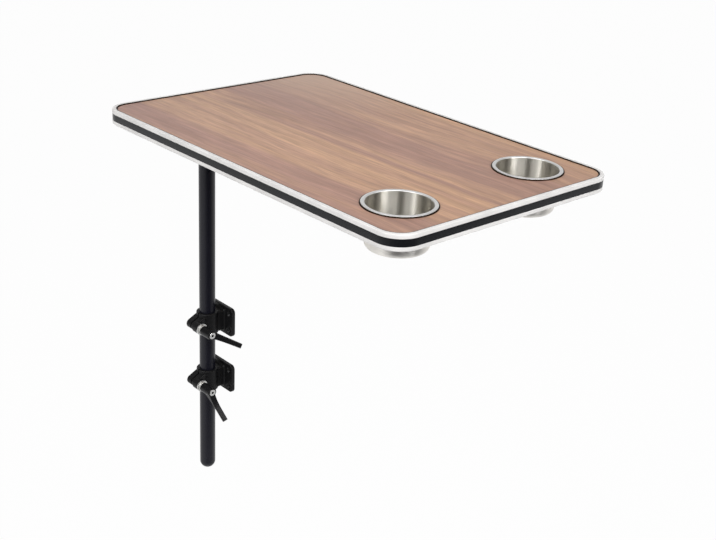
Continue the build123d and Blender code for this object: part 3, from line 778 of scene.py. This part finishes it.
class MakeCups(Operator):
    """Turn the two pressed steel cup holders, their rolled rims and dark rings of painted shade under them.
    """

    bl_idname = "camper_table.make_cups"
    bl_label = "Cup Holders"

    def execute(self, context):
        sizes = context.scene.camper_sizes
        colours = context.scene.camper_colours
        rubber = coated("seal_rubber", colours.shade_brown)
        for node in CUP_NODES:
            low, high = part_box(node)
            middle = Vector(((low.x + high.x) / 2, (low.y + high.y) / 2, 0))
            rim = (high.x - low.x) / 2
            self.turn_skins(sizes, colours, node, middle, low.z, high.z - sizes.rim_roll)
            self.turn_rim(sizes, colours, node, middle, rim, high.z)
            self.turn_seal(sizes, rubber, node, middle, rim)
        return {"FINISHED"}

    def turn_skins(self, sizes, colours, node, middle, foot, top):
        """The cup's wall and floor, as an inner and an outer skin of half the steel's thickness each."""
        thin = sizes.cup_wall / 2
        for index, (skin, colour, painted_foot_shade) in enumerate(CUP_SKINS):
            inset = index * thin
            inside = foot + sizes.cup_wall - inset
            base, mouth, corner = sizes.cup_base + inset, sizes.cup_mouth + inset, sizes.cup_corner + inset
            cup = bmesh.new()
            draw_outline(cup, (
                (0, inside, 0),
                (base, inside, corner),
                (mouth, top, 0),
                (mouth + thin, top, 0),
                (base + thin, inside - thin, corner + thin),
                (0, inside - thin, 0),
            ), closed=False)
            lathe(cup, middle)
            name = node.replace("holder", skin)
            steel = brushed_material(name + "_steel", getattr(colours, colour), middle, foot, painted_foot_shade)
            new_piece(name, cup, steel, "cup_steel", BODY, node)

    def turn_rim(self, sizes, colours, node, middle, rim, top):
        """The rim that rolls out of the cup and rests on the dark ring of painted shade."""
        wall = sizes.cup_wall
        roll_foot = top - sizes.rim_roll
        rim_foot = BOARD_HIGH.z + sizes.seal_height / 2
        roll = bmesh.new()
        draw_outline(roll, (
            (sizes.cup_mouth, roll_foot, 0),
            (sizes.cup_mouth, top, sizes.rim_roll),
            (rim - sizes.rim_lean, top, sizes.rim_edge),
            (rim, rim_foot, 0),
            (rim - wall, rim_foot, 0),
            (rim - wall - sizes.rim_lean, top - wall, 0),
            (sizes.cup_mouth + wall, top - wall, 0),
            (sizes.cup_mouth + wall, roll_foot, 0),
        ), closed=True)
        lathe(roll, middle)
        name = node.replace("holder", "rim")
        # The rim's steel is a lighter copy of the cups' steel, painting the bright reflection on it
        satin = turned(name + "_satin", "satin", colours.rim_steel, middle, UPRIGHT)
        new_piece(name, roll, satin, "cup_steel", BODY)

    def turn_seal(self, sizes, rubber, node, middle, rim):
        """A dark ring between the rim and the board, as painted shade where the rim meets the board."""
        inner, outer = rim - 2 * sizes.cup_wall, rim + sizes.seal_reach
        top = BOARD_HIGH.z + sizes.seal_height
        seal = bmesh.new()
        draw_outline(seal, (
            (inner, BOARD_HIGH.z, 0),
            (outer, BOARD_HIGH.z, 0),
            (outer, top, sizes.seal_reach),
            (inner, top, 0),
        ), closed=True)
        lathe(seal, middle)
        new_piece(node.replace("holder", "seal"), seal, rubber, "stripe_black", BODY)


class MakePole(Operator):
    """Turn the pole's tube and domed end, and paint its flange."""

    bl_idname = "camper_table.make_pole"
    bl_label = "Pole"

    def execute(self, context):
        sizes = context.scene.camper_sizes
        colours = context.scene.camper_colours
        paint = coated("pole_coat", colours.pole_paint)
        bore = POLE_RADIUS - sizes.pole_wall
        tube = bmesh.new()
        draw_outline(tube, (
            (bore, TUBE_LOW.z, 0), (POLE_RADIUS, TUBE_LOW.z, 0),
            (POLE_RADIUS, TUBE_HIGH.z, 0), (bore, TUBE_HIGH.z, 0),
        ), closed=True)
        lathe(tube, POLE_PLACE)
        new_piece("pole_shaft", tube, paint, "pole_paint", BODY, "pole_tube")

        cap = bmesh.new()
        lowest = cap.verts.new((0, 0, CAP_LOW.z))
        bmesh.ops.spin(
            cap, geom=[lowest], cent=(0, 0, TUBE_LOW.z), axis=(0, -1, 0), angle=QUARTER_TURN,
            steps=CORNER_STEPS)
        brim = max(cap.verts, key=lambda vert: vert.co.x)
        cap.edges.new((brim, cap.verts.new((0, 0, TUBE_LOW.z))))
        lathe(cap, POLE_PLACE)
        new_piece("pole_dome", cap, paint, "pole_paint", BODY, "pole_end_cap")
        dress(paint, "pole_flange")
        return {"FINISHED"}


class DressClamps(Operator):
    """Give the cast clamp bodies and their pole liners a finish."""

    bl_idname = "camper_table.dress_clamps"
    bl_label = "Clamps"

    def execute(self, context):
        colours = context.scene.camper_colours
        cast = coated("clamp_coat", colours.clamp_paint)
        nylon = coated("liner_nylon", colours.liner_plastic)
        for side in SIDES:
            dress(cast, f"{side}_clamp_body")
            dress(nylon, f"{side}_pole_liner")
        return {"FINISHED"}


class DressLevers(Operator):
    """Give the lever handles, studs and screws a finish."""

    bl_idname = "camper_table.dress_levers"
    bl_label = "Levers"

    def execute(self, context):
        sizes = context.scene.camper_sizes
        colours = context.scene.camper_colours
        coat = coated("handle_coat", colours.handle_paint)
        for side in SIDES:
            low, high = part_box(f"{side}_lever_stud")
            middle = Vector((0, (low.y + high.y) / 2, (low.z + high.z) / 2))
            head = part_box(f"{side}_lever_screw")[1].x
            socket = (sizes.socket_radius, head - sizes.socket_lip)
            bright = turned(f"{side}_bright_steel", "bright", colours.bright_steel, middle, ALONG_X)
            screw = turned(f"{side}_screw_steel", "polished", colours.bright_steel, middle, ALONG_X, socket)
            dress(coat, f"{side}_lever_handle")
            dress(bright, f"{side}_lever_stud", f"{side}_clamp_washer")
            dress(screw, f"{side}_lever_screw")
        return {"FINISHED"}


class MakeSprings(Operator):
    """Wind the lever springs, which move with their levers; a real spring closes up towards the screw's head
    as its handle is lifted.
    """

    bl_idname = "camper_table.make_springs"
    bl_label = "Lever Springs"

    def execute(self, context):
        sizes = context.scene.camper_sizes
        colours = context.scene.camper_colours
        thin = sizes.spring_wire
        steps = WINDING_STEPS * sizes.spring_turns
        for side in SIDES:
            low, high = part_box(f"{side}_lever_spring")
            axis_place = Vector((0, (low.y + high.y) / 2, (low.z + high.z) / 2))
            start = Vector((low.x + thin, axis_place.y, high.z - thin))
            length = high.x - low.x
            coil = bmesh.new()
            bmesh.ops.create_circle(
                coil, segments=WIRE_SIDES, radius=thin,
                matrix=Matrix.Translation(start) @ Matrix.Rotation(QUARTER_TURN, 4, "X"))
            bmesh.ops.spin(
                coil, geom=coil.verts[:] + coil.edges[:], cent=axis_place, axis=(1, 0, 0),
                dvec=((length - 2 * thin) / steps, 0, 0), angle=tau * sizes.spring_turns, steps=steps)
            bmesh.ops.holes_fill(coil, edges=coil.edges)
            close_surface(coil)
            wire = turned(f"{side}_spring_wire", "wire", colours.spring_steel, axis_place, ALONG_X)
            name = f"{side}_spring_coil"
            piece = new_piece(name, coil, wire, "spring_steel", f"{side}_lever", f"{side}_lever_spring")
            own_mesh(piece)
        return {"FINISHED"}


class DressFixings(Operator):
    """Give the nuts and the flange screws their zinc finish."""

    bl_idname = "camper_table.dress_fixings"
    bl_label = "Fixings"

    def execute(self, context):
        colours = context.scene.camper_colours
        for side in SIDES:
            low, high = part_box(f"{side}_clamp_nut")
            zinc = turned(f"{side}_nut_zinc", "zinc", colours.zinc_steel, (low + high) / 2, ALONG_X)
            dress(zinc, f"{side}_clamp_nut")
        zinc = turned("screw_zinc", "zinc", colours.zinc_steel, POLE_PLACE, UPRIGHT)
        dress(zinc, "flange_screws")
        return {"FINISHED"}


class BuildStage(Operator):
    """Lay the floor, light the studio and set the camera."""

    bl_idname = "camper_table.build_stage"
    bl_label = "Stage"

    def execute(self, context):
        scene = context.scene
        stage = scene.camper_stage
        self.lay_floor(scene, stage)
        self.light_world(scene, stage)
        for lamp in STUDIO_LAMPS:
            self.hang_lamp(scene, *lamp)
        self.stand_flag(scene, stage)
        self.set_camera(scene, stage)
        scene.view_settings.view_transform = "Standard"
        return {"FINISHED"}

    def lay_floor(self, scene, stage):
        """A plain pale floor that shows white to the camera and keeps the object's shadow."""
        bm = bmesh.new()
        bmesh.ops.create_grid(bm, x_segments=1, y_segments=1, size=stage.floor_size / 2)
        bmesh.ops.translate(bm, verts=bm.verts, vec=(0, 0, CAP_LOW.z - stage.floor_drop))
        mesh = bpy.data.meshes.new("studio_floor")
        bm.to_mesh(mesh)
        bm.free()
        floor = bpy.data.objects.new("studio_floor", mesh)
        scene.collection.objects.link(floor)
        material = bpy.data.materials.new("floor_paper")
        material.use_nodes = True
        tree = material.node_tree
        tree.nodes.remove(tree.nodes["Principled BSDF"])
        paper = add_node(tree, "BsdfDiffuse", None, {"Color": rgba(scene.camper_colours.floor_white)})
        glow = add_node(tree, "Emission", None, {"Strength": 1.0})
        path = add_node(tree, "LightPath")
        seen = calculate(tree, "MAXIMUM", path.outputs["Is Camera Ray"], path.outputs["Is Glossy Ray"])
        seen = calculate(tree, "MAXIMUM", seen, path.outputs["Is Transmission Ray"])
        share = calculate(tree, "MULTIPLY", seen, stage.floor_glow)
        mixed = add_node(tree, "MixShader", None, {0: share, 1: paper.outputs[0], 2: glow.outputs[0]})
        tree.links.new(mixed.outputs[0], tree.nodes["Material Output"].inputs["Surface"])
        mesh.materials.append(material)

    def light_world(self, scene, stage):
        """A studio with a white backdrop behind the table and a dim room on the camera's side."""
        world = bpy.data.worlds.new("studio_world")
        world.use_nodes = True
        scene.world = world
        tree = world.node_tree
        heading = add_node(tree, "TexCoord").outputs["Generated"]
        behind = Matrix.Rotation(stage.camera_azimuth + stage.backdrop_turn, 3, "Z") @ Vector((0, 1, 0))
        facing = add_node(tree, "VectorMath", {"operation": "DOT_PRODUCT"}, {0: heading, 1: behind})
        level = remap(tree, facing.outputs["Value"], *BACKDROP_EDGE, stage.room_light, stage.backdrop_light)
        height = add_node(tree, "SeparateXYZ", None, {0: heading}).outputs[2]
        rise = remap(tree, height, *CEILING_EDGE, 0.0, 1.0)
        change = calculate(tree, "SUBTRACT", stage.ceiling_light, level)
        level = calculate(tree, "MULTIPLY_ADD", change, rise, level)
        level = calculate(tree, "MAXIMUM", level, add_node(tree, "LightPath").outputs["Is Camera Ray"])
        tree.links.new(level, tree.nodes["Background"].inputs["Strength"])
        tree.nodes["Background"].inputs["Color"].default_value = (1.0, 1.0, 1.0, 1.0)

    def hang_lamp(self, scene, name, heading, distance, height, width, length, power):
        """A soft rectangular lamp that looks at the tabletop from a heading round it."""
        lamp = bpy.data.lights.new(name, "AREA")
        lamp.shape = "RECTANGLE"
        lamp.size = width
        lamp.size_y = length
        lamp.energy = power
        away = Matrix.Rotation(heading, 3, "Z") @ Vector((distance, 0, height))
        holder = bpy.data.objects.new(name, lamp)
        holder.location = BOARD_MIDDLE + away
        holder.rotation_euler = (-away).to_track_quat("-Z", "Y").to_euler()
        scene.collection.objects.link(holder)

    def stand_flag(self, scene, stage):
        """A curved black flag in front of the table, soft at its ends and seen only in shiny surfaces."""
        bm = bmesh.new()
        foot = CAP_LOW.z - stage.floor_drop
        levels = (foot, foot + stage.flag_height)
        ends = [bm.verts.new((stage.flag_distance, 0, level)) for level in levels]
        edge = bm.edges.new(ends)
        turn = Matrix.Rotation(stage.flag_heading - stage.flag_reach, 3, "Z")
        bmesh.ops.rotate(bm, verts=ends, cent=(0, 0, 0), matrix=turn)
        bmesh.ops.spin(
            bm, geom=ends + [edge], cent=(0, 0, 0), axis=(0, 0, 1), angle=2 * stage.flag_reach,
            steps=CORNER_STEPS)
        bmesh.ops.translate(bm, verts=bm.verts, vec=(BOARD_MIDDLE.x, BOARD_MIDDLE.y, 0))
        mesh = bpy.data.meshes.new("studio_flag")
        bm.to_mesh(mesh)
        bm.free()
        material = bpy.data.materials.new("flag_cloth")
        material.use_nodes = True
        tree = material.node_tree
        tree.nodes.remove(tree.nodes["Principled BSDF"])
        place = add_node(tree, "SeparateXYZ", None, {0: add_node(tree, "TexCoord").outputs["Object"]})
        along = calculate(tree, "SUBTRACT", place.outputs[0], BOARD_MIDDLE.x)
        across = calculate(tree, "SUBTRACT", place.outputs[1], BOARD_MIDDLE.y)
        heading = calculate(tree, "ARCTAN2", across, along)
        off = calculate(tree, "ABSOLUTE", calculate(tree, "SUBTRACT", heading, stage.flag_heading))
        cover = add_node(tree, "MapRange", {"interpolation_type": "SMOOTHSTEP"}, {
            "Value": off, "From Min": stage.flag_core, "From Max": stage.flag_reach,
            "To Min": 1.0, "To Max": 0.0})
        cloth = add_node(tree, "BsdfDiffuse", None, {"Color": rgba(scene.camper_colours.flag_cloth)})
        clear = add_node(tree, "BsdfTransparent")
        mixed = add_node(tree, "MixShader", None, {
            0: cover.outputs[0], 1: clear.outputs[0], 2: cloth.outputs[0]})
        tree.links.new(mixed.outputs[0], tree.nodes["Material Output"].inputs["Surface"])
        mesh.materials.append(material)
        flag = bpy.data.objects.new("studio_flag", mesh)
        flag.visible_camera = False
        flag.visible_diffuse = False
        flag.visible_transmission = False
        flag.visible_shadow = False
        scene.collection.objects.link(flag)

    def set_camera(self, scene, stage):
        """The camera at the photo's viewing angle."""
        camera = bpy.data.cameras.new("photo_camera")
        camera.lens = stage.camera_lens
        camera.shift_x = stage.camera_shift
        holder = bpy.data.objects.new("photo_camera", camera)
        holder.matrix_world = (
            Matrix.Translation(stage.camera_place)
            @ Matrix.Rotation(stage.camera_azimuth, 4, "Z")
            @ Matrix.Rotation(QUARTER_TURN - stage.camera_elevation, 4, "X")
            @ Matrix.Rotation(stage.camera_roll, 4, "Z")
        )
        scene.collection.objects.link(holder)
        scene.camera = holder


OPERATORS = (
    DressBoard, MakeEdgeTrim, MakeCups, MakePole, DressClamps, DressLevers, MakeSprings, DressFixings,
    BuildStage,
)


class CamperTablePanel(Panel):
    """Lists the table's pieces and the stage in the 3D view's sidebar."""

    bl_idname = "VIEW3D_PT_camper_table"
    bl_label = "Camper Table"
    bl_space_type = "VIEW_3D"
    bl_region_type = "UI"
    bl_category = "Camper Table"

    def draw(self, context):
        for operator in OPERATORS:
            self.layout.operator(operator.bl_idname)


PROPERTY_GROUPS = {
    "camper_sizes": CamperTableSizes,
    "camper_colours": CamperTableColours,
    "camper_stage": CamperTableStage,
}


def register():
    """Register the classes and hang the property groups on the scene."""
    for item in (*PROPERTY_GROUPS.values(), *OPERATORS, CamperTablePanel):
        bpy.utils.register_class(item)
    for name, group in PROPERTY_GROUPS.items():
        setattr(bpy.types.Scene, name, PointerProperty(type=group))


def unregister():
    """Take the property groups off the scene and unregister the classes."""
    for name in PROPERTY_GROUPS:
        delattr(bpy.types.Scene, name)
    for item in (CamperTablePanel, *reversed(OPERATORS), *PROPERTY_GROUPS.values()):
        bpy.utils.unregister_class(item)


def main():
    register()
    bpy.ops.camper_table.dress_board()
    bpy.ops.camper_table.make_edge_trim()
    bpy.ops.camper_table.make_cups()
    bpy.ops.camper_table.make_pole()
    bpy.ops.camper_table.dress_clamps()
    bpy.ops.camper_table.dress_levers()
    bpy.ops.camper_table.make_springs()
    bpy.ops.camper_table.dress_fixings()
    bpy.ops.camper_table.build_stage()


if __name__ == "__main__":
    main()
